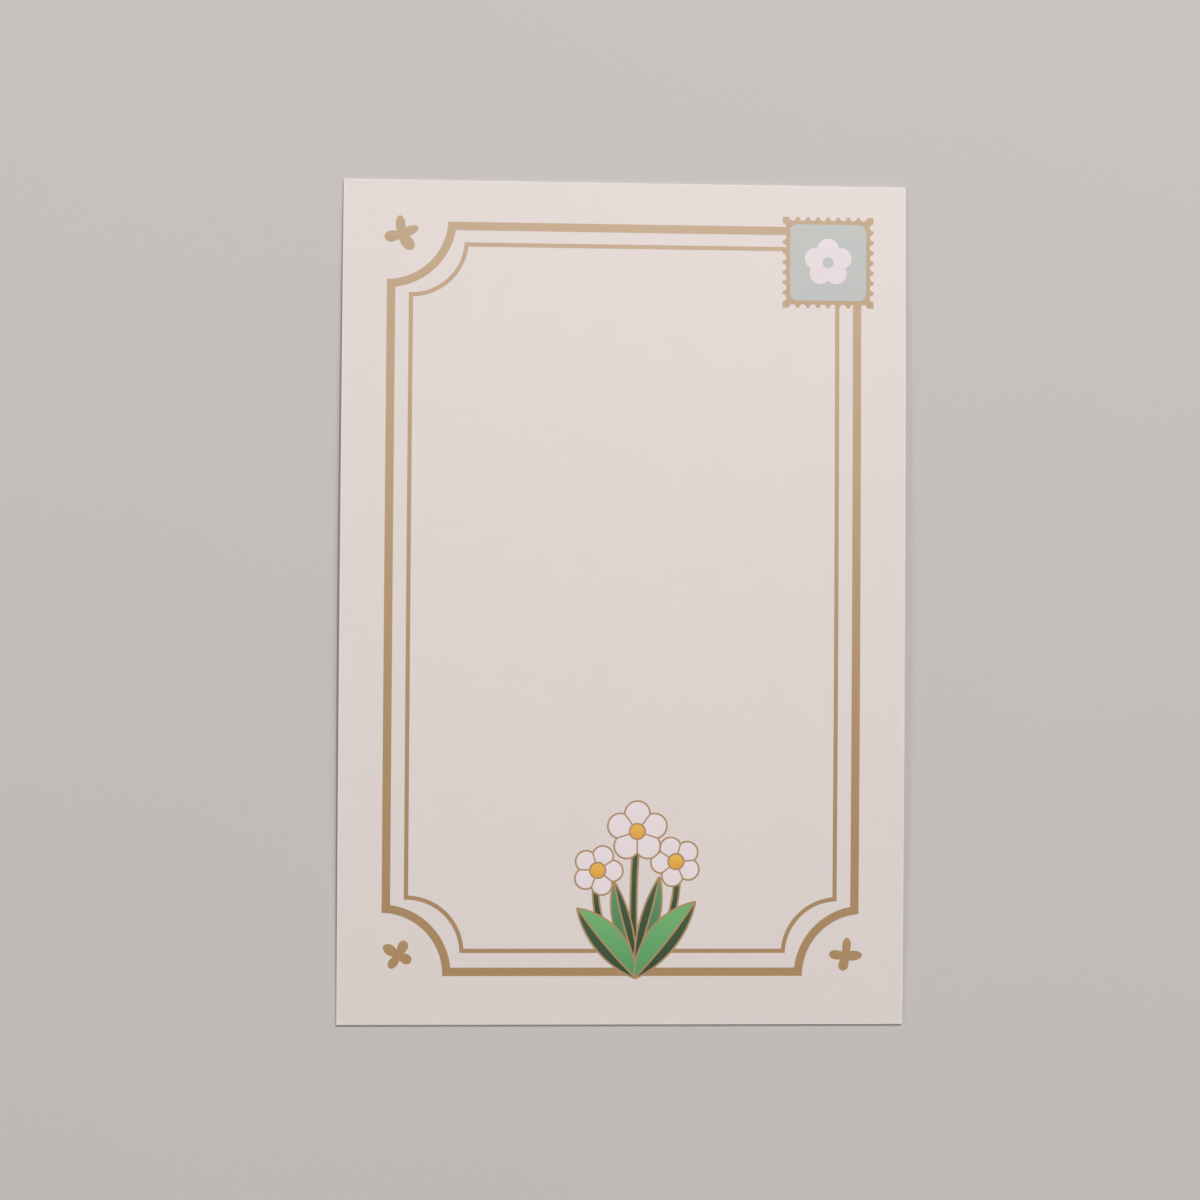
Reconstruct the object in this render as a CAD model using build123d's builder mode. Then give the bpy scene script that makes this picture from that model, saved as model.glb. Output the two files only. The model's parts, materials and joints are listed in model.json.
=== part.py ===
# Postcard of the four by six inch size, lying on its picture side.
# +X is to the right of the writing side, +Y is towards the stamp, +Z is out of the writing side.
import os
from math import cos, radians, sin, sqrt

from build123d import *

os.makedirs("parts", exist_ok=True)

# Board
card_width = 102.0
card_length = 152.0
core_thickness = 0.26
writing_ply_thickness = 0.07
picture_ply_thickness = 0.07
ink_thickness = 0.015

# Border of two rules with scooped corners
border_left_margin = 7.95
border_right_margin = 8.15
border_top_margin = 7.55
border_bottom_margin = 8.75
outer_rule_width = 1.5
inner_left_inset = 3.95
inner_right_inset = 4.0
inner_top_inset = 3.7
inner_bottom_inset = 4.15
inner_rule_width = 0.75
outer_scoop = 11.1
inner_scoop = 9.6
# Side and end of each scooped corner, then how far inside that corner the scoop's centre sits
outer_scoop_places = ((-1, 1, -0.15, -0.55), (-1, -1, -0.2, 0.25), (1, -1, -0.9, 0.1))
inner_scoop_places = ((-1, 1, 0.35, -0.4), (-1, -1, 0.4, -0.05), (1, -1, -0.25, -0.25))

# Corner florets: side and end of the card, inset from the border's corner, radius of the middle, then the
# angle and reach of each petal, and the length and width of its rounded end
florets = {
    "floret_top_left": (
        (-1, 1),
        (2.5, 2.45),
        0.65,
        ((25, 3.35, 4.4, 1.75), (95, 3.5, 3.4, 1.75), (190, 3.05, 2.4, 2.05), (308, 3.35, 3.2, 2.2)),
    ),
    "floret_bottom_left": (
        (-1, -1),
        (3.1, 3.65),
        0.5,
        ((66, 2.9, 2.25, 1.85), (147, 3.25, 2.8, 1.9), (232, 2.8, 2.5, 1.65), (335, 2.45, 2.1, 1.85)),
    ),
    "floret_bottom_right": (
        (1, -1),
        (2.25, 3.55),
        0.65,
        ((4, 2.95, 3.5, 1.8), (86, 3.3, 2.7, 1.55), (172, 3.05, 2.45, 1.7), (255, 2.7, 2.1, 1.8)),
    ),
}

# Printed stamp over the top right corner of the border
stamp_size = 16.6
stamp_side_overhang = 2.25
stamp_top_overhang = 1.85
perforation_radius = 0.66
perforation_pitch = 1.85
stamp_corner_tooth = 1.15
stamp_border_width = 1.35
stamp_panel_radius = 1.3
stamp_petal_radius = 1.95
stamp_petal_circle = 2.45
stamp_eye_radius = 1.0
stamp_petal_count = 5
stamp_petal_turn = 90

# Posy at the foot of the border, measured from its foot
posy_offset = 2.5
posy_drop = 0.6
key_line = 0.32
stem_width = 0.85
rib_width = 0.32
seam_width = 0.28
petal_count = 5
petal_overlap = 0.35
eye_radius = 1.25
# Foot of the stem, centre of the blossom, bulge of the stem, petal radius
blossoms = (
    ((-0.5, 1.5), (-6.9, 19.6), 2.6, 1.75),
    ((0.5, 1.5), (7.2, 21.2), -2.4, 1.75),
    ((0.0, 1.5), (0.2, 26.6), 0.5, 2.1),
)
# Angle of the first petal of each blossom
blossom_turns = (70, 112, 90)
# Foot, tip, bulges of the left edge, the rib and the right edge, inks left and right of the rib
leaves = (
    ((0.0, 3.0), (-3.9, 17.4), 1.9, 0.3, -1.0, "mid", "dark"),
    ((0.0, 3.0), (4.2, 18.2), 1.1, -0.3, -1.9, "dark", "mid"),
    ((0.0, 0.3), (-10.4, 12.6), 2.0, 0.4, -3.0, "dark", "light"),
    ((0.0, 0.3), (10.6, 13.8), 3.1, -0.4, -2.0, "light", "dark"),
)

# Picture on the underside
picture_margin = 6.0
picture_rule_width = 0.9
picture_rule_gap = 1.4
sun_radius = 9.0
sun_offset = 15.0
sun_height = 98.0
# Height of each ridge at the left end, the middle and the right end, measured from the picture's foot
ridges = {
    "picture_far_hill": (50.0, 72.0, 60.0),
    "picture_middle_hill": (46.0, 40.0, 48.0),
    "picture_near_hill": (12.0, 28.0, 24.0),
}

# Levels of the plies
picture_face_level = ink_thickness
core_underside = picture_face_level + picture_ply_thickness
core_top = core_underside + core_thickness
writing_face_level = core_top + writing_ply_thickness
writing_face = Plane.XY.offset(writing_face_level)
picture_face = Plane.XY

# Border edges
border_left = -card_width / 2 + border_left_margin
border_right = card_width / 2 - border_right_margin
border_top = card_length / 2 - border_top_margin
border_bottom = -card_length / 2 + border_bottom_margin
border_width = border_right - border_left
border_height = border_top - border_bottom
border_centre = ((border_left + border_right) / 2, (border_top + border_bottom) / 2)
inner_width = border_width - inner_left_inset - inner_right_inset
inner_height = border_height - inner_top_inset - inner_bottom_inset
inner_centre = (
    border_centre[0] + (inner_left_inset - inner_right_inset) / 2,
    border_centre[1] + (inner_bottom_inset - inner_top_inset) / 2,
)


def scooped_rule(width, height, line, scoop, places):
    # Line of even width round a panel, with circles cut from every corner but the stamp's
    centres = [(side * (width / 2 - x), end * (height / 2 - y)) for side, end, x, y in places]
    with BuildSketch() as opening:
        Rectangle(width - 2 * line, height - 2 * line)
        with Locations(centres):
            Circle(scoop + line, mode=Mode.SUBTRACT)
    with BuildSketch() as rule:
        Rectangle(width, height)
        with Locations(centres):
            Circle(scoop, mode=Mode.SUBTRACT)
        add(opening.sketch, mode=Mode.SUBTRACT)
    return rule.sketch


def floret_petal(middle, angle, reach, length, width):
    # Petal with a round outer end that narrows towards the floret's middle
    with BuildSketch() as shape:
        with Locations((reach - length / 2, 0)):
            Ellipse(length / 2, width / 2)
        Circle(middle)
        make_hull()
    return shape.sketch.rotate(Axis.Z, angle)


def bulged(start, end, bulge):
    # Point beside the middle of a line, to its left where the bulge is positive
    chord = Vector(*end) - Vector(*start)
    sideways = Vector(-chord.Y, chord.X).normalized()
    return (Vector(*start) + Vector(*end)) / 2 + sideways * bulge


def blade(foot, tip, left, right):
    # Pointed leaf shape between two arcs
    with BuildSketch() as shape:
        with BuildLine():
            ThreePointArc(foot, bulged(foot, tip, left), tip)
            ThreePointArc(foot, bulged(foot, tip, right), tip)
        make_face()
    return shape.sketch


def strip(foot, top, bulge, width):
    # Bowed strip of even width
    chord = Vector(*top) - Vector(*foot)
    half = Vector(-chord.Y, chord.X).normalized() * width / 2
    middle = bulged(foot, top, bulge)
    with BuildSketch() as shape:
        with BuildLine():
            left = ThreePointArc(Vector(*foot) + half, middle + half, Vector(*top) + half)
            right = ThreePointArc(Vector(*foot) - half, middle - half, Vector(*top) - half)
            Line(left @ 0, right @ 0)
            Line(left @ 1, right @ 1)
        make_face()
    return shape.sketch


def petal_ring(centre, radius, circle, count, turn):
    # Round petals set in a ring and joined in the middle
    with BuildSketch() as shape:
        with Locations(centre):
            Circle(circle)
            with PolarLocations(circle, count, start_angle=turn):
                Circle(radius)
    return shape.sketch


def petal_seams(centre, radius, circle, count, turn):
    # Lines of the key colour from the middle through the notches between neighbouring petals
    half_angle = radians(180 / count)
    notch = circle * cos(half_angle) + sqrt(radius**2 - (circle * sin(half_angle)) ** 2)
    length = notch + seam_width
    with BuildSketch() as shape:
        with Locations(centre):
            with PolarLocations(length / 2, count, start_angle=turn + 180 / count):
                Rectangle(length, seam_width)
    return shape.sketch


def disc(centre, radius):
    with BuildSketch() as shape:
        with Locations(centre):
            Circle(radius)
    return shape.sketch


def widened(shape, amount):
    with BuildSketch() as wider:
        add(shape)
        offset(amount=amount)
    return wider.sketch


# Board plies
with BuildPart() as picture_ply:
    with BuildSketch(Plane.XY.offset(picture_face_level)):
        Rectangle(card_width, card_length)
    extrude(amount=picture_ply_thickness)
picture_ply.part.label = "picture_ply"
export_step(picture_ply.part, "parts/picture_ply.step")

with BuildPart() as board_core:
    with BuildSketch(Plane.XY.offset(core_underside)):
        Rectangle(card_width, card_length)
    extrude(amount=core_thickness)
board_core.part.label = "board_core"
export_step(board_core.part, "parts/board_core.step")

with BuildPart() as writing_ply:
    with BuildSketch(Plane.XY.offset(core_top)):
        Rectangle(card_width, card_length)
    extrude(amount=writing_ply_thickness)
writing_ply.part.label = "writing_ply"
export_step(writing_ply.part, "parts/writing_ply.step")

# Stamp outlines
stamp_centre = (
    border_right + stamp_side_overhang - stamp_size / 2,
    border_top + stamp_top_overhang - stamp_size / 2,
)
perforation_room = stamp_size - 2 * (stamp_corner_tooth + perforation_radius)
perforation_count = round(perforation_room / perforation_pitch) + 1
stamp_panel_size = stamp_size - 2 * stamp_border_width

with BuildSketch() as stamp_outline:
    with Locations(stamp_centre):
        Rectangle(stamp_size, stamp_size)
        with GridLocations(perforation_pitch, stamp_size, perforation_count, 2):
            Circle(perforation_radius, mode=Mode.SUBTRACT)
        with GridLocations(stamp_size, perforation_pitch, 2, perforation_count):
            Circle(perforation_radius, mode=Mode.SUBTRACT)

with BuildSketch() as panel_outline:
    with Locations(stamp_centre):
        RectangleRounded(stamp_panel_size, stamp_panel_size, stamp_panel_radius)

stamp_petals = petal_ring(
    stamp_centre, stamp_petal_radius, stamp_petal_circle, stamp_petal_count, stamp_petal_turn
)
stamp_flower = stamp_petals - disc(stamp_centre, stamp_eye_radius)

# Posy outlines from the back to the front: what each covers, and its fills by ink
posy_place = Location((posy_offset, border_bottom - posy_drop, 0))
posy_layers = []
for foot, centre, bulge, petal_radius in blossoms:
    cover = strip(foot, centre, bulge, stem_width + 2 * key_line)
    posy_layers.append((cover, {"stem": strip(foot, centre, bulge, stem_width)}))
for foot, tip, left, rib, right, left_ink, right_ink in leaves:
    rib_line = strip(foot, tip, rib, rib_width)
    left_half = blade(foot, tip, left, rib) - rib_line
    right_half = blade(foot, tip, rib, right) - rib_line
    cover = widened(blade(foot, tip, left, right), key_line)
    posy_layers.append((cover, {left_ink: left_half, right_ink: right_half}))
for (foot, centre, bulge, petal_radius), turn in zip(blossoms, blossom_turns):
    petal_circle = petal_radius / sin(radians(180 / petal_count)) - petal_overlap
    petals = petal_ring(centre, petal_radius, petal_circle, petal_count, turn)
    seams = petal_seams(centre, petal_radius, petal_circle, petal_count, turn)
    white = petals - disc(centre, eye_radius + key_line) - seams
    posy_layers.append((widened(petals, key_line), {"petal": white, "eye": disc(centre, eye_radius)}))

posy_inks = {"key": [], "stem": [], "light": [], "mid": [], "dark": [], "petal": [], "eye": []}
for number, (cover, fills) in enumerate(posy_layers):
    fronts = [front for front, _ in posy_layers[number + 1 :]]
    line = cover
    for ink, fill in fills.items():
        line = line - fill
        for front in fronts:
            fill = fill - front
        posy_inks[ink].append(posy_place * fill)
    for front in fronts:
        line = line - front
    posy_inks["key"].append(posy_place * line)
posy_covers = [posy_place * cover for cover, _ in posy_layers]

# Border rules, left out under the stamp and the posy
with BuildPart() as outer_rule:
    with BuildSketch(writing_face):
        with Locations(border_centre):
            add(scooped_rule(border_width, border_height, outer_rule_width, outer_scoop, outer_scoop_places))
        add(stamp_outline.sketch, mode=Mode.SUBTRACT)
        add(posy_covers, mode=Mode.SUBTRACT)
    extrude(amount=ink_thickness)
outer_rule.part.label = "outer_rule"
export_step(outer_rule.part, "parts/outer_rule.step")

with BuildPart() as inner_rule:
    with BuildSketch(writing_face):
        with Locations(inner_centre):
            add(scooped_rule(inner_width, inner_height, inner_rule_width, inner_scoop, inner_scoop_places))
        add(stamp_outline.sketch, mode=Mode.SUBTRACT)
        add(posy_covers, mode=Mode.SUBTRACT)
    extrude(amount=ink_thickness)
inner_rule.part.label = "inner_rule"
export_step(inner_rule.part, "parts/inner_rule.step")

# Corner florets
for name, ((side, end), (inset_x, inset_y), middle, petals) in florets.items():
    corner_x = border_right if side > 0 else border_left
    corner_y = border_top if end > 0 else border_bottom
    with BuildPart() as floret:
        with BuildSketch(writing_face):
            with Locations((corner_x - side * inset_x, corner_y - end * inset_y)):
                for angle, reach, length, width in petals:
                    add(floret_petal(middle, angle, reach, length, width))
        extrude(amount=ink_thickness)
    floret.part.label = name
    export_step(floret.part, f"parts/{name}.step")

# Stamp
with BuildPart() as stamp_border:
    with BuildSketch(writing_face):
        add(stamp_outline.sketch)
        add(panel_outline.sketch, mode=Mode.SUBTRACT)
    extrude(amount=ink_thickness)
stamp_border.part.label = "stamp_border"
export_step(stamp_border.part, "parts/stamp_border.step")

with BuildPart() as stamp_panel:
    with BuildSketch(writing_face):
        add(panel_outline.sketch)
        add(stamp_flower, mode=Mode.SUBTRACT)
    extrude(amount=ink_thickness)
stamp_panel.part.label = "stamp_panel"
export_step(stamp_panel.part, "parts/stamp_panel.step")

with BuildPart() as stamp_blossom:
    with BuildSketch(writing_face):
        add(stamp_flower)
    extrude(amount=ink_thickness)
stamp_blossom.part.label = "stamp_blossom"
export_step(stamp_blossom.part, "parts/stamp_blossom.step")

# Posy, one film for each ink
posy_nodes = {
    "posy_key_line": "key",
    "posy_stems": "stem",
    "posy_light_leaves": "light",
    "posy_mid_leaves": "mid",
    "posy_dark_leaves": "dark",
    "posy_petals": "petal",
    "posy_centres": "eye",
}
for name, ink in posy_nodes.items():
    with BuildPart() as posy_film:
        with BuildSketch(writing_face):
            add(posy_inks[ink])
        extrude(amount=ink_thickness)
    posy_film.part.label = name
    export_step(posy_film.part, f"parts/{name}.step")

# Picture on the underside, inside its own rule
picture_width = card_width - 2 * picture_margin
picture_height = card_length - 2 * picture_margin
scene_inset = picture_rule_width + picture_rule_gap
scene_width = picture_width - 2 * scene_inset
scene_height = picture_height - 2 * scene_inset

with BuildPart() as picture_rule:
    with BuildSketch(picture_face):
        Rectangle(picture_width, picture_height)
        Rectangle(
            picture_width - 2 * picture_rule_width,
            picture_height - 2 * picture_rule_width,
            mode=Mode.SUBTRACT,
        )
    extrude(amount=ink_thickness)
picture_rule.part.label = "picture_rule"
export_step(picture_rule.part, "parts/picture_rule.step")

# Picture shapes from the back to the front, each left out under those in front of it
scene_foot = -scene_height / 2
scene_side = scene_width / 2
picture_layers = []
with BuildSketch() as sky_outline:
    Rectangle(scene_width, scene_height)
picture_layers.append(("picture_sky", sky_outline.sketch))
picture_layers.append(("picture_sun", disc((sun_offset, scene_foot + sun_height), sun_radius)))
for name, (left, middle, right) in ridges.items():
    with BuildSketch() as hill:
        with BuildLine():
            crest = ThreePointArc(
                (-scene_side, scene_foot + left),
                (0, scene_foot + middle),
                (scene_side, scene_foot + right),
            )
            Polyline(crest @ 1, (scene_side, scene_foot), (-scene_side, scene_foot), crest @ 0)
        make_face()
    picture_layers.append((name, hill.sketch))

for number, (name, outline) in enumerate(picture_layers):
    with BuildPart() as picture_film:
        with BuildSketch(picture_face):
            add(outline)
            for _, front in picture_layers[number + 1 :]:
                add(front, mode=Mode.SUBTRACT)
        extrude(amount=ink_thickness)
    picture_film.part.label = name
    export_step(picture_film.part, f"parts/{name}.step")
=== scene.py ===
import json
import math

import bmesh
import bpy
from mathutils import Matrix, Vector


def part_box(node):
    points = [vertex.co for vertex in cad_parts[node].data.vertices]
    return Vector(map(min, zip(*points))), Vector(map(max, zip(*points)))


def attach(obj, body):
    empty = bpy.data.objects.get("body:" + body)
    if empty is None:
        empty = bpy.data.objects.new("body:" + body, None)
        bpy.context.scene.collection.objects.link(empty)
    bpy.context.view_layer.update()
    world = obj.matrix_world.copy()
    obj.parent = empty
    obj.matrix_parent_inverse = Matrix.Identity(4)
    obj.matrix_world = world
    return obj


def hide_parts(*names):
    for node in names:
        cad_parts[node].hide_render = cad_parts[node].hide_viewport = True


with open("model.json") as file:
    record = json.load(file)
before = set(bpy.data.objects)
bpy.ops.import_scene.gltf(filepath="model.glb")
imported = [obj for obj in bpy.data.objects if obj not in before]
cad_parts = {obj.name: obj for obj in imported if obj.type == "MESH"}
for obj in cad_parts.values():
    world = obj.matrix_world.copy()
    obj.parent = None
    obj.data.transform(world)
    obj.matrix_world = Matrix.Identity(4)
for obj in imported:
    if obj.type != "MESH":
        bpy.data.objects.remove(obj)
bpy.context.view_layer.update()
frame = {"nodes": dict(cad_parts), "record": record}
mm = 0.001

# the card lies in XY, writing side up, stamp towards +Y
cardLow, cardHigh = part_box("board_core")
cardLength = cardHigh.y - cardLow.y
print("frame loaded, card", [round((cardHigh - cardLow)[i] / mm, 2) for i in range(3)], "mm")


def paint(red, green, blue):
    # screen colour to the linear colour that shaders take
    channels = [value / 255 for value in (red, green, blue)]
    return tuple(c / 12.92 if c <= 0.04045 else ((c + 0.055) / 1.055) ** 2.4 for c in channels) + (1.0,)


def join(tree, start, end):
    tree.links.new(start, end)


def mathNode(tree, operation, *values, clamp=False):
    # a Math node fed with numbers or sockets
    node = tree.nodes.new("ShaderNodeMath")
    node.operation = operation
    node.use_clamp = clamp
    for index, value in enumerate(values):
        if isinstance(value, (int, float)):
            node.inputs[index].default_value = value
        else:
            join(tree, value, node.inputs[index])
    return node.outputs[0]


def swing(tree, value, depth):
    # a value between 0 and 1, made to swing about 0 instead
    return mathNode(tree, "MULTIPLY", mathNode(tree, "SUBTRACT", value, 0.5), depth)


def noiseNode(tree, place, scale, detail=3.0, roughness=0.55):
    node = tree.nodes.new("ShaderNodeTexNoise")
    node.inputs["Detail"].default_value = detail
    node.inputs["Roughness"].default_value = roughness
    if isinstance(scale, (int, float)):
        node.inputs["Scale"].default_value = scale
    else:
        join(tree, scale, node.inputs["Scale"])
    join(tree, place, node.inputs["Vector"])
    return node.outputs[0]


def stretched(tree, place, turn, stretch):
    # coordinates turned about Z, then drawn out along one way
    node = tree.nodes.new("ShaderNodeMapping")
    node.inputs["Rotation"].default_value = (0, 0, math.radians(turn))
    node.inputs["Scale"].default_value = stretch
    join(tree, place, node.inputs["Vector"])
    return node.outputs[0]


def newGroup(name, inputs, outputs):
    group = bpy.data.node_groups.new(name, "ShaderNodeTree")
    for label, value in inputs.items():
        socket = group.interface.new_socket(label, in_out="INPUT", socket_type="NodeSocketFloat")
        socket.default_value = value
    for label in outputs:
        group.interface.new_socket(label, in_out="OUTPUT", socket_type="NodeSocketFloat")
    start = group.nodes.new("NodeGroupInput")
    end = group.nodes.new("NodeGroupOutput")
    place = group.nodes.new("ShaderNodeTexCoord").outputs["Object"]
    return group, start.outputs, end.inputs, place


# fibres in a sheet: the ways they lie, how thin they are drawn out, which crests stay, how far those stand
laidFibres = {
    "turns": (12.0, 71.0, 134.0), "stretch": (1.0, 0.09, 1.0), "scale": 2400.0, "detail": 2.0,
    "contrast": 6.0, "cut": 3.7, "relief": 0.35,
}
tooth = {"detail": 4.0, "gloss": 0.12}  # gloss is how far the tooth swings the roughness


def makePaperTooth():
    # mottled formation, fine tooth and laid fibres of a sheet
    group, given, result, place = newGroup(
        "paperTooth",
        {
            "toothScale": 6000.0, "mottleScale": 160.0,
            "toothDepth": 0.03, "mottleDepth": 0.02, "fibreDepth": 0.02,
        },
        ("shade", "height", "gloss"),
    )
    bumps = noiseNode(group, place, given["toothScale"], tooth["detail"])
    mottle = noiseNode(group, place, given["mottleScale"])
    crests = None
    for turn in laidFibres["turns"]:
        drawn = stretched(group, place, turn, laidFibres["stretch"])
        strand = noiseNode(group, drawn, laidFibres["scale"], laidFibres["detail"])
        strand = mathNode(group, "MULTIPLY", strand, laidFibres["contrast"])
        strand = mathNode(group, "SUBTRACT", strand, laidFibres["cut"], clamp=True)
        crests = strand if crests is None else mathNode(group, "MAXIMUM", crests, strand)
    fine = swing(group, bumps, given["toothDepth"])
    broad = swing(group, mottle, given["mottleDepth"])
    lines = mathNode(group, "MULTIPLY", crests, given["fibreDepth"])
    shade = mathNode(group, "ADD", mathNode(group, "ADD", fine, broad), 1.0)
    join(group, mathNode(group, "SUBTRACT", shade, lines), result["shade"])
    join(group, mathNode(group, "MULTIPLY_ADD", crests, laidFibres["relief"], bumps), result["height"])
    join(group, swing(group, bumps, tooth["gloss"]), result["gloss"])
    return group


# toner: how rough its grains are, how far its clumps stand and how far they swing the roughness
toner = {"grainDetail": 2.0, "grainRoughness": 0.6, "clumpRelief": 0.5, "clumpGloss": 0.16}


def makeInkGrain():
    # toner laid in fine grains that clump a little
    group, given, result, place = newGroup(
        "inkGrain",
        {"grainScale": 9000.0, "clumpScale": 1100.0, "grainDepth": 0.1, "clumpDepth": 0.05},
        ("shade", "height", "gloss"),
    )
    grains = noiseNode(group, place, given["grainScale"], toner["grainDetail"], toner["grainRoughness"])
    clumps = noiseNode(group, place, given["clumpScale"])
    fine = swing(group, grains, given["grainDepth"])
    broad = swing(group, clumps, given["clumpDepth"])
    join(group, mathNode(group, "ADD", mathNode(group, "ADD", fine, broad), 1.0), result["shade"])
    join(group, mathNode(group, "MULTIPLY_ADD", clumps, toner["clumpRelief"], grains), result["height"])
    join(group, swing(group, clumps, toner["clumpGloss"]), result["gloss"])
    return group


# trimmed sides: faces whose normal has less than this of Z, and the streaks along them
bladeCut = {"lean": 0.6, "stretch": (1.0, 1.0, 9.0), "scale": 2600.0, "detail": 4.0}


def makeCutEdge():
    # 1 on the trimmed sides, with the streaks the blade leaves
    group, given, result, place = newGroup("cutEdge", {"streakDepth": 0.35}, ("mask", "shade"))
    split = group.nodes.new("ShaderNodeSeparateXYZ")
    join(group, group.nodes.new("ShaderNodeNewGeometry").outputs["Normal"], split.inputs[0])
    upright = mathNode(group, "ABSOLUTE", split.outputs["Z"])
    join(group, mathNode(group, "LESS_THAN", upright, bladeCut["lean"]), result["mask"])
    drawn = stretched(group, place, 0, bladeCut["stretch"])
    streaks = noiseNode(group, drawn, bladeCut["scale"], bladeCut["detail"])
    join(group, mathNode(group, "ADD", swing(group, streaks, given["streakDepth"]), 1.0), result["shade"])
    return group


# rubbed flecks: their size, how many show at the very rim, how fast they thin out, how hard they look
rimFlecks = {"scale": 1500.0, "detail": 4.0, "threshold": 0.25, "thinning": 0.6, "contrast": 5.0}


def makeRimWear():
    # flecks where the rim has been handled, most of all at the corners
    group, given, result, place = newGroup(
        "rimWear",
        {
            "halfWidth": cardHigh.x, "halfLength": cardHigh.y,
            "rimReach": 0.8 * mm, "cornerReach": 3.5 * mm, "amount": 0.5,
        },
        ("mask",),
    )
    split = group.nodes.new("ShaderNodeSeparateXYZ")
    join(group, place, split.inputs[0])
    across = mathNode(group, "ABSOLUTE", split.outputs["X"])
    along = mathNode(group, "ABSOLUTE", split.outputs["Y"])
    fromSide = mathNode(group, "SUBTRACT", given["halfWidth"], across)
    fromEnd = mathNode(group, "SUBTRACT", given["halfLength"], along)
    rim = mathNode(group, "DIVIDE", mathNode(group, "MINIMUM", fromSide, fromEnd), given["rimReach"])
    corner = mathNode(group, "DIVIDE", mathNode(group, "ADD", fromSide, fromEnd), given["cornerReach"])
    far = mathNode(group, "MINIMUM", mathNode(group, "MINIMUM", rim, corner), 1.0)
    flecks = noiseNode(group, place, rimFlecks["scale"], rimFlecks["detail"])
    flecks = mathNode(group, "SUBTRACT", flecks, rimFlecks["threshold"])
    flecks = mathNode(group, "SUBTRACT", flecks, mathNode(group, "MULTIPLY", far, rimFlecks["thinning"]))
    flecks = mathNode(group, "MULTIPLY", flecks, rimFlecks["contrast"], clamp=True)
    join(group, mathNode(group, "MULTIPLY", flecks, given["amount"]), result["mask"])
    return group


paperTooth = makePaperTooth()
inkGrain = makeInkGrain()
cutEdge = makeCutEdge()
rimWear = makeRimWear()


def useGroup(tree, group, **values):
    node = tree.nodes.new("ShaderNodeGroup")
    node.node_tree = group
    for label, value in values.items():
        node.inputs[label].default_value = value
    return node.outputs


def shaded(tree, colour, shade):
    # colour made lighter or darker by a value about 1
    node = tree.nodes.new("ShaderNodeHueSaturation")
    if isinstance(colour, tuple):
        node.inputs["Color"].default_value = colour
    else:
        join(tree, colour, node.inputs["Color"])
    join(tree, shade, node.inputs["Value"])
    return node.outputs[0]


def mixed(tree, amount, first, second):
    node = tree.nodes.new("ShaderNodeMix")
    node.data_type = "RGBA"
    join(tree, amount, node.inputs[0])
    for socket, colour in ((node.inputs[6], first), (node.inputs[7], second)):  # the colour sockets A and B
        if isinstance(colour, tuple):
            socket.default_value = colour
        else:
            join(tree, colour, socket)
    return node.outputs[2]


def alongColour(tree, look):
    # colour that runs from the foot of a shape to its tip
    along = tree.nodes.new("ShaderNodeAttribute")
    along.attribute_name = "along"
    return mixed(tree, along.outputs["Fac"], look["foot"], look["tip"])


def newMaterial(name):
    material = bpy.data.materials.new(name)
    material.use_nodes = True
    tree = material.node_tree
    return material, tree, tree.nodes["Principled BSDF"]


def surface(tree, shader, colour, gloss, roughness, height, relief, distance):
    join(tree, colour, shader.inputs["Base Color"])
    join(tree, mathNode(tree, "ADD", gloss, roughness), shader.inputs["Roughness"])
    bump = tree.nodes.new("ShaderNodeBump")
    bump.inputs["Strength"].default_value = relief
    bump.inputs["Distance"].default_value = distance
    join(tree, height, bump.inputs["Height"])
    join(tree, bump.outputs[0], shader.inputs["Normal"])


# papers: colours of the face, the cut edge and the worn rim, finish, and how deep tooth,
# mottle and fibres show
papers = {
    "cream_paper": {
        "face": paint(214, 203, 199), "edge": paint(206, 196, 184), "worn": paint(224, 216, 211),
        "roughness": 0.5, "specular": 0.5, "tooth": 0.035, "mottle": 0.03, "fibre": 0.02, "relief": 0.25,
    },
    "core_paper": {
        "face": paint(214, 206, 194), "edge": paint(198, 188, 174), "worn": paint(220, 213, 203),
        "roughness": 0.8, "specular": 0.4, "tooth": 0.05, "mottle": 0.03, "fibre": 0.05, "relief": 0.5,
    },
    "white_paper": {
        "face": paint(232, 230, 226), "edge": paint(214, 208, 200), "worn": paint(222, 218, 212),
        "roughness": 0.42, "specular": 0.5, "tooth": 0.015, "mottle": 0.02, "fibre": 0.01, "relief": 0.12,
    },
}
toothHeight = 0.02 * mm


def makePaper(name):
    look = papers[name]
    material, tree, shader = newMaterial(name)
    sheet = useGroup(
        tree, paperTooth,
        toothDepth=look["tooth"], mottleDepth=look["mottle"], fibreDepth=look["fibre"],
    )
    trimmed = useGroup(tree, cutEdge)
    rubbed = useGroup(tree, rimWear)
    face = shaded(tree, mixed(tree, rubbed["mask"], look["face"], look["worn"]), sheet["shade"])
    edge = shaded(tree, look["edge"], trimmed["shade"])
    surface(
        tree, shader, mixed(tree, trimmed["mask"], face, edge),
        sheet["gloss"], look["roughness"], sheet["height"], look["relief"], toothHeight,
    )
    shader.inputs["Specular IOR Level"].default_value = look["specular"]
    return material


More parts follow.
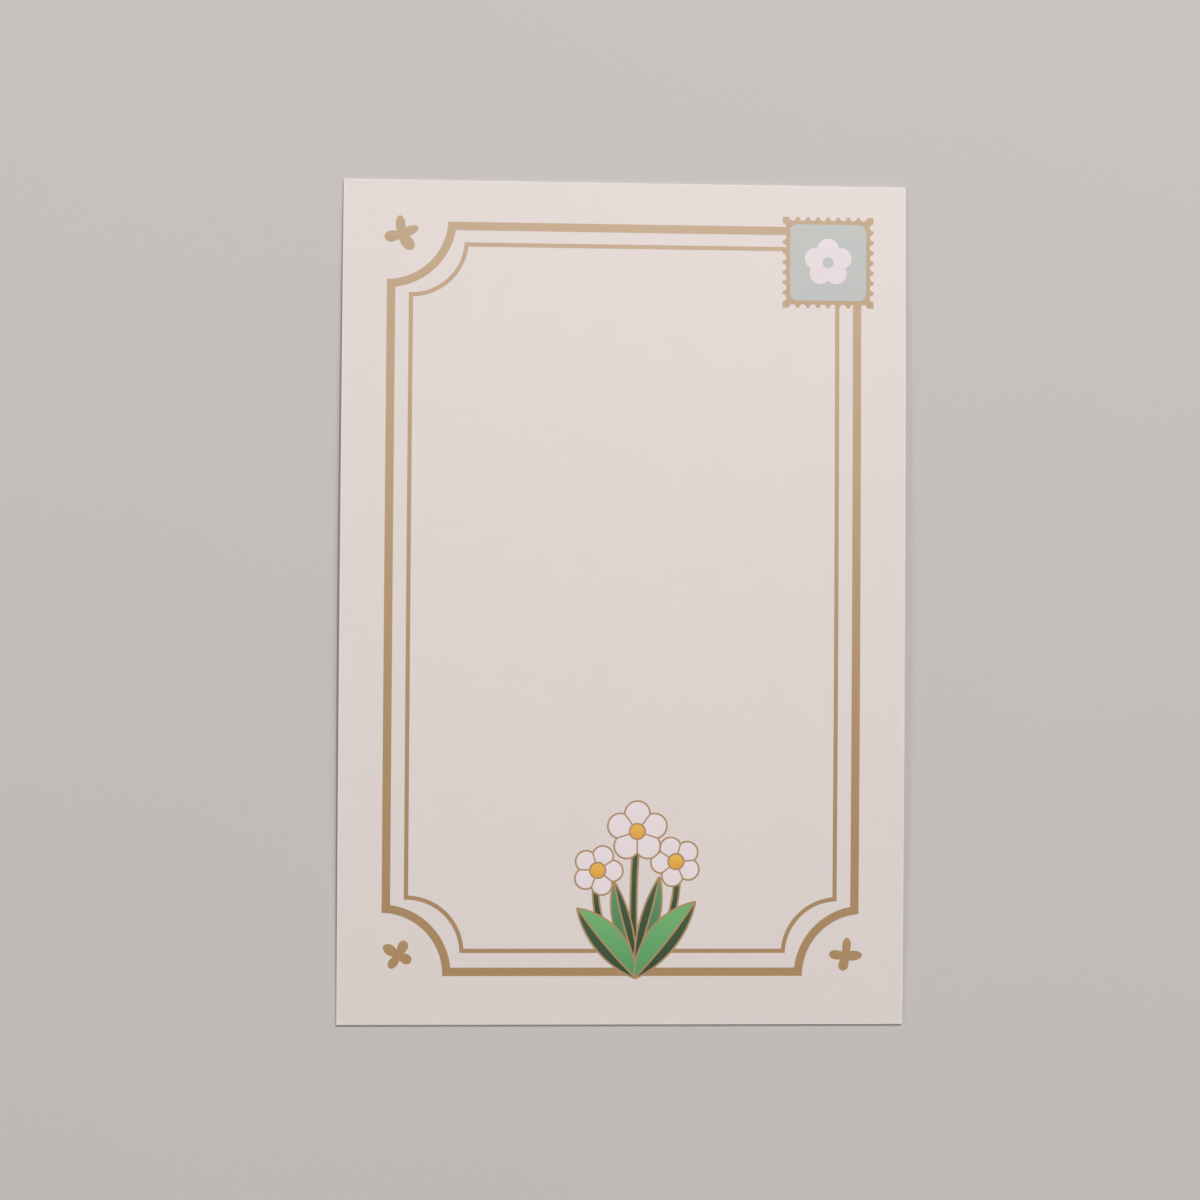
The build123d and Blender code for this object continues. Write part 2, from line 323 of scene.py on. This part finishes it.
# writing side inks: colour at the foot and at the tip of a shape, finish and grain
inks = {
    "gold_ink": {
        "foot": paint(160, 126, 84), "tip": paint(164, 130, 88),
        "roughness": 0.32, "specular": 0.95, "grain": 0.1,
    },
    "teal_ink": {
        "foot": paint(175, 178, 174), "tip": paint(178, 180, 177),
        "roughness": 0.42, "specular": 0.5, "grain": 0.05,
    },
    "white_ink": {
        "foot": paint(222, 209, 211), "tip": paint(225, 212, 214),
        "roughness": 0.65, "specular": 0.2, "grain": 0.03,
    },
    "light_green_ink": {
        "foot": paint(78, 145, 88), "tip": paint(108, 170, 105),
        "roughness": 0.4, "specular": 0.5, "grain": 0.08,
    },
    "mid_green_ink": {
        "foot": paint(67, 119, 75), "tip": paint(89, 141, 92),
        "roughness": 0.4, "specular": 0.5, "grain": 0.08,
    },
    "dark_green_ink": {
        "foot": paint(36, 61, 33), "tip": paint(54, 79, 48),
        "roughness": 0.38, "specular": 0.5, "grain": 0.12,
    },
    "yellow_ink": {
        "foot": paint(212, 153, 55), "tip": paint(226, 174, 73),
        "roughness": 0.42, "specular": 0.5, "grain": 0.06,
    },
}
inkFilm = {"height": 0.01 * mm, "relief": 0.2, "clumpShare": 0.6}  # clumps show less than grains do


def makeInk(name):
    look = inks[name]
    material, tree, shader = newMaterial(name)
    clump = look["grain"] * inkFilm["clumpShare"]
    film = useGroup(tree, inkGrain, grainDepth=look["grain"], clumpDepth=clump)
    surface(
        tree, shader, shaded(tree, alongColour(tree, look), film["shade"]),
        film["gloss"], look["roughness"], film["height"], inkFilm["relief"], inkFilm["height"],
    )
    shader.inputs["Specular IOR Level"].default_value = look["specular"]
    return material


# picture side inks: colour at the foot and at the top of each field, brush strokes across it,
# and a pale wash in broad soft bands, as haze or light on a slope
pictureInks = {
    "sky_ink": {
        "foot": paint(214, 226, 220), "tip": paint(136, 184, 190),
        "stroke": 0.05, "stretch": (0.15, 1.0, 1.0),
        "wash": paint(240, 240, 232), "washDepth": 0.75, "washTurn": 3.0,
    },
    "sun_ink": {
        "foot": paint(238, 204, 124), "tip": paint(246, 224, 160),
        "stroke": 0.04, "stretch": (1.0, 1.0, 1.0),
        "wash": paint(250, 236, 190), "washDepth": 0.3, "washTurn": 0.0,
    },
    "far_hill_ink": {
        "foot": paint(104, 150, 116), "tip": paint(140, 184, 148),
        "stroke": 0.1, "stretch": (1.0, 0.3, 1.0),
        "wash": paint(176, 206, 172), "washDepth": 0.45, "washTurn": -14.0,
    },
    "middle_hill_ink": {
        "foot": paint(78, 138, 84), "tip": paint(118, 178, 112),
        "stroke": 0.14, "stretch": (1.0, 0.25, 1.0),
        "wash": paint(160, 200, 124), "washDepth": 0.45, "washTurn": 8.0,
    },
    "near_hill_ink": {
        "foot": paint(36, 64, 42), "tip": paint(66, 108, 70),
        "stroke": 0.2, "stretch": (1.0, 0.2, 1.0),
        "wash": paint(92, 132, 80), "washDepth": 0.3, "washTurn": 12.0,
    },
}
pictureFilm = {"roughness": 0.26, "relief": 0.1, "grain": 0.05, "clump": 0.03}
brush = {"scale": 420.0, "detail": 4.0, "turn": 4.0}
washBands = {"scale": 150.0, "stretch": (0.22, 1.0, 1.0), "contrast": 4.0, "threshold": 0.52}


def makePictureInk(name):
    look = pictureInks[name]
    material, tree, shader = newMaterial(name)
    film = useGroup(tree, inkGrain, grainDepth=pictureFilm["grain"], clumpDepth=pictureFilm["clump"])
    place = tree.nodes.new("ShaderNodeTexCoord").outputs["Object"]
    drawn = stretched(tree, place, brush["turn"], look["stretch"])
    strokes = swing(tree, noiseNode(tree, drawn, brush["scale"], brush["detail"]), look["stroke"])
    drifting = stretched(tree, place, look["washTurn"], washBands["stretch"])
    bands = noiseNode(tree, drifting, washBands["scale"])
    bands = mathNode(tree, "SUBTRACT", bands, washBands["threshold"])
    bands = mathNode(tree, "MULTIPLY", bands, washBands["contrast"], clamp=True)
    bands = mathNode(tree, "MULTIPLY", bands, look["washDepth"])
    colour = mixed(tree, bands, alongColour(tree, look), look["wash"])
    surface(
        tree, shader, shaded(tree, colour, mathNode(tree, "ADD", film["shade"], strokes)),
        film["gloss"], pictureFilm["roughness"], film["height"], pictureFilm["relief"], inkFilm["height"],
    )
    return material


finishes = {name: makePaper(name) for name in papers}
finishes.update({name: makeInk(name) for name in inks})
finishes.update({name: makePictureInk(name) for name in pictureInks})
print("finishes made:", len(finishes))


# the card arches a little along its length, its two ends down by the table
bow = {"rise": 1.0 * mm, "step": 4.0 * mm, "weld": 0.0005 * mm}


def lift(y):
    return bow["rise"] * (1 - (2 * y / cardLength) ** 2)


def islandsOf(shape):
    # groups of vertices that hang together
    left = set(shape.verts)
    while left:
        group, edge = set(), [left.pop()]
        while edge:
            vert = edge.pop()
            group.add(vert)
            for link in vert.link_edges:
                other = link.other_vert(vert)
                if other in left:
                    left.remove(other)
                    edge.append(other)
        yield group


def fillAlong(shape, layer):
    # 0 at the foot of each separate shape, 1 at its tip, measured along +Y
    for group in islandsOf(shape):
        low = min(vert.co.y for vert in group)
        high = max(vert.co.y for vert in group)
        for vert in group:
            vert[layer] = (vert.co.y - low) / (high - low)


def addPiece(node, slotName):
    # a copy of the solid's skin, cut across at even steps and bent to the card's arch
    mesh = frame["nodes"][node].data.copy()
    mesh.materials.clear()
    mesh.materials.append(finishes[slotName])
    shape = bmesh.new()
    shape.from_mesh(mesh)
    bmesh.ops.remove_doubles(shape, verts=shape.verts, dist=bow["weld"])
    steps = int(cardLength / 2 / bow["step"])
    for index in range(-steps, steps + 1):
        everything = shape.verts[:] + shape.edges[:] + shape.faces[:]
        spot = (0, index * bow["step"], 0)
        bmesh.ops.bisect_plane(shape, geom=everything, plane_co=spot, plane_no=(0, 1, 0), dist=bow["weld"])
    fillAlong(shape, shape.verts.layers.float.new("along"))
    for vert in shape.verts:
        vert.co.z += lift(vert.co.y)
    shape.to_mesh(mesh)
    shape.free()
    mesh.shade_flat()
    piece = bpy.data.objects.new("card_" + node, mesh)
    bpy.context.scene.collection.objects.link(piece)
    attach(piece, "root")
    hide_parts(node)


for part in frame["record"]["subparts"]:
    addPiece(part["node"], part["material_slot"])


# a pale table top, a hair below the card, that fades into the room far off
table = {
    "half": 3.0, "drop": 0.02 * mm, "colour": paint(189, 184, 181), "roughness": 0.75, "specular": 0.3,
    "grainScale": 900.0, "grain": 0.01, "mottleScale": 9.0, "mottle": 0.03,
    "fadeStart": 0.25, "fadeEnd": 0.9,
}


def addTable():
    shape = bmesh.new()
    bmesh.ops.create_grid(shape, x_segments=1, y_segments=1, size=table["half"])
    mesh = bpy.data.meshes.new("tableTop")
    shape.to_mesh(mesh)
    shape.free()
    material, tree, shader = newMaterial("tableTop")
    sheet = useGroup(
        tree, paperTooth,
        toothScale=table["grainScale"], toothDepth=table["grain"],
        mottleScale=table["mottleScale"], mottleDepth=table["mottle"], fibreDepth=0.0,
    )
    join(tree, shaded(tree, table["colour"], sheet["shade"]), shader.inputs["Base Color"])
    shader.inputs["Roughness"].default_value = table["roughness"]
    shader.inputs["Specular IOR Level"].default_value = table["specular"]
    away = tree.nodes.new("ShaderNodeVectorMath")
    away.operation = "LENGTH"
    join(tree, tree.nodes.new("ShaderNodeTexCoord").outputs["Object"], away.inputs[0])
    fade = tree.nodes.new("ShaderNodeMapRange")
    fade.interpolation_type = "SMOOTHSTEP"
    fade.inputs["From Min"].default_value = table["fadeEnd"]
    fade.inputs["From Max"].default_value = table["fadeStart"]
    join(tree, away.outputs["Value"], fade.inputs["Value"])
    join(tree, fade.outputs[0], shader.inputs["Alpha"])
    mesh.materials.append(material)
    top = bpy.data.objects.new("tableTop", mesh)
    top.location.z = -table["drop"]
    bpy.context.scene.collection.objects.link(top)


# a small key lamp beyond the stamp end, a soft box above, a window on each side, and even light all round
lamps = {
    "keyLamp": {"place": (0.7, 2.05, 1.9), "size": 0.35, "watts": 56.0},
    "softBox": {"place": (0.11, 0.55, 1.88), "size": 0.88, "watts": 7.75},
    "rightWindow": {"place": (1.5, 1.6, 1.9), "size": 1.0, "watts": 20.0},
    "leftWindow": {"place": (-1.9, 0.0, 1.56), "size": 0.75, "watts": 12.0},
}
roomLight = {"colour": (1.0, 1.0, 1.0, 1.0), "strength": 0.14, "walls": paint(190, 186, 182)}


def addLamps():
    for name, look in lamps.items():
        lamp = bpy.data.lights.new(name, "AREA")
        lamp.shape = "SQUARE"
        lamp.size = look["size"]
        lamp.energy = look["watts"]
        holder = bpy.data.objects.new(name, lamp)
        holder.location = look["place"]
        holder.rotation_euler = (-holder.location).to_track_quat("-Z", "Y").to_euler()
        bpy.context.scene.collection.objects.link(holder)


def addRoom():
    # the walls show to the eye and in gloss, and the even light does the lighting
    room = bpy.data.worlds.new("room")
    room.use_nodes = True
    tree = room.node_tree
    light = tree.nodes["Background"]
    light.inputs["Color"].default_value = roomLight["colour"]
    light.inputs["Strength"].default_value = roomLight["strength"]
    walls = tree.nodes.new("ShaderNodeBackground")
    walls.inputs["Color"].default_value = roomLight["walls"]
    path = tree.nodes.new("ShaderNodeLightPath").outputs
    seen = mathNode(tree, "MAXIMUM", path["Is Camera Ray"], path["Is Glossy Ray"])
    seen = mathNode(tree, "MAXIMUM", seen, path["Is Transmission Ray"])
    either = tree.nodes.new("ShaderNodeMixShader")
    join(tree, seen, either.inputs[0])
    join(tree, light.outputs[0], either.inputs[1])
    join(tree, walls.outputs[0], either.inputs[2])
    join(tree, either.outputs[0], tree.nodes["World Output"].inputs["Surface"])
    bpy.context.scene.world = room


# seen from almost straight above, a little left of the middle
seenFrom = {
    "lens": 54.0, "sensor": 36.0, "near": 10.0 * mm, "place": (-16.97 * mm, -4.59 * mm, 325.16 * mm),
    "aim": (0.03903, 0.01529, -0.99912), "up": (-0.00732, 0.99986, 0.01502),
}


def addCamera():
    data = bpy.data.cameras.new("camera")
    data.lens = seenFrom["lens"]
    data.sensor_width = seenFrom["sensor"]
    data.clip_start = seenFrom["near"]
    camera = bpy.data.objects.new("camera", data)
    aim = Vector(seenFrom["aim"]).normalized()
    right = aim.cross(Vector(seenFrom["up"])).normalized()
    turn = Matrix((right, right.cross(aim), -aim)).transposed()
    camera.matrix_world = Matrix.Translation(seenFrom["place"]) @ turn.to_4x4()
    bpy.context.scene.collection.objects.link(camera)
    bpy.context.scene.camera = camera


addTable()
addLamps()
addRoom()
addCamera()
bpy.context.scene.view_settings.view_transform = "Standard"
print("table, light and camera set")
